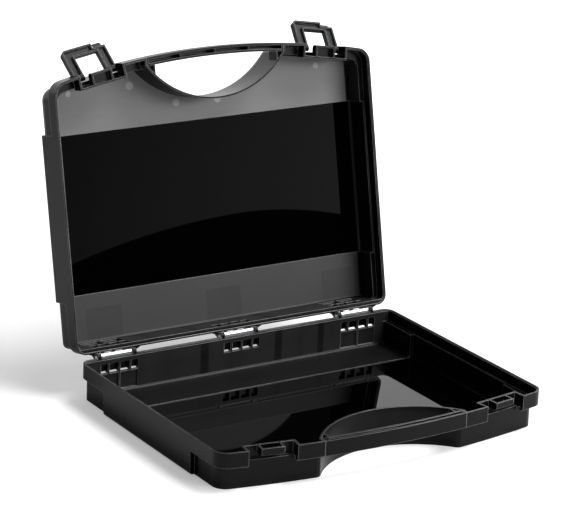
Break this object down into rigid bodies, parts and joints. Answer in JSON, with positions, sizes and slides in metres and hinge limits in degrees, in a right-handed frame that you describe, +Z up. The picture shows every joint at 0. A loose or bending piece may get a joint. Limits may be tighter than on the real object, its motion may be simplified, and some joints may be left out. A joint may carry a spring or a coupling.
{
  "type": "hard tool case",
  "caption": "Moulded twin-shell tool case with a hinged lid, a split carrying handle in the bowed front and snap latches, standing open.",
  "frame": {"origin": "middle of the flat underside, halfway along the straight sides", "axes": "X along the width, +Y to the hinges at the back, +Z up"},
  "size_m": [0.34, 0.3631, 0.3087],
  "materials": {
    "shell_plastic": "black moulded polypropylene, fine matt grain with polished panels",
    "handle_plastic": "black moulded polypropylene with a fine grip grain",
    "latch_plastic": "black moulded plastic, satin",
    "pin_steel": "drawn steel wire, bright"
  },
  "bodies": {
    "base": {"base_shell": "shell_plastic", "base_handle_bar": "handle_plastic"},
    "lid": {"lid_shell": "shell_plastic", "lid_handle_bar": "handle_plastic", "hinge_pin_left": "pin_steel", "hinge_pin_middle": "pin_steel", "hinge_pin_right": "pin_steel"},
    "left_latch": {"latch_left": "latch_plastic"},
    "right_latch": {"latch_right": "latch_plastic"}
  },
  "joints": [
    {"name": "lid_hinge", "type": "hinge", "parent": "base", "child": "lid", "pos_m": [0, 0.12705, 0.03615], "axis": [1, 0, 0], "range_deg": [0, 102]},
    {"name": "left_latch_pivot", "type": "hinge", "parent": "lid", "child": "left_latch", "pos_m": [-0.12074, 0.19334, 0.28333], "axis": [0.9873, 0.033, 0.1551], "range_deg": [0, 123.5]},
    {"name": "right_latch_pivot", "type": "hinge", "parent": "lid", "child": "right_latch", "pos_m": [0.12074, 0.19334, 0.28333], "axis": [0.9873, -0.033, -0.1551], "range_deg": [0, 123.5]}
  ]
}
